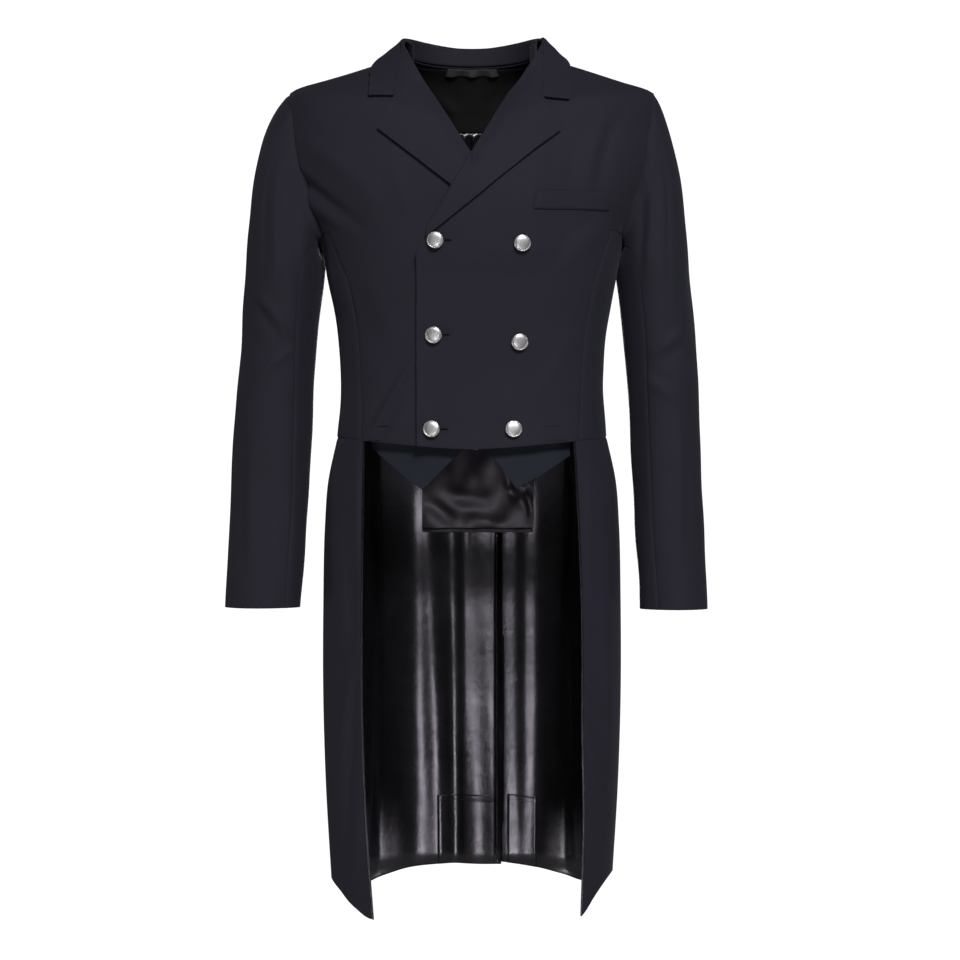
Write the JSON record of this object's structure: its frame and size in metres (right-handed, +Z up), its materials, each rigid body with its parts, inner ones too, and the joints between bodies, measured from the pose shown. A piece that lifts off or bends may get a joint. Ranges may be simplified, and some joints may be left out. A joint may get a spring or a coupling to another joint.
{
  "type": "dressage tailcoat",
  "caption": "Double-breasted riding tailcoat, filled out and hollow: notched lapels, domed buttons, cropped cut-away front, waistcoat points and two long lined tails.",
  "frame": {"origin": "midway between the shoulders, at the foot of the neck, where a hanger or a wearer holds the coat", "axes": "+Z up along the coat towards the collar, +X towards the wearer's left, -Y out of the buttoned front"},
  "size_m": [0.5956, 0.2605, 1.0882],
  "materials": {
    "navy_wool": "matt near-black navy twill",
    "point_navy": "fine matt navy cloth",
    "leathercloth": "glossy black grained leathercloth",
    "satin": "black satin",
    "matt_lining": "matt black lining",
    "silver": "polished domed silver-coloured metal"
  },
  "bodies": {
    "root": {"back_left": "navy_wool", "back_lining": "matt_lining", "back_right": "navy_wool", "back_satin": "satin", "breast_welt": "navy_wool", "button_inner_1": "silver", "button_inner_2": "silver", "button_inner_3": "silver", "button_outer_1": "silver", "button_outer_2": "silver", "button_outer_3": "silver", "collar_fall": "navy_wool", "collar_stand": "navy_wool", "front_left": "navy_wool", "front_right": "navy_wool", "lapel_left": "navy_wool", "lapel_right": "navy_wool", "neck_label": "satin", "side_left": "navy_wool", "side_right": "navy_wool", "tail_left": "navy_wool", "tail_lining_left": "leathercloth", "tail_lining_right": "leathercloth", "tail_piping_left": "leathercloth", "tail_piping_right": "leathercloth", "tail_right": "navy_wool", "topsleeve_left": "navy_wool", "topsleeve_right": "navy_wool", "undersleeve_left": "navy_wool", "undersleeve_right": "navy_wool", "vent_facing": "leathercloth", "waist_flap": "satin", "waist_flap_binding": "satin", "waistcoat_point_left": "point_navy", "waistcoat_point_right": "point_navy", "weight_pocket_left": "leathercloth", "weight_pocket_right": "leathercloth"}
  },
  "joints": []
}
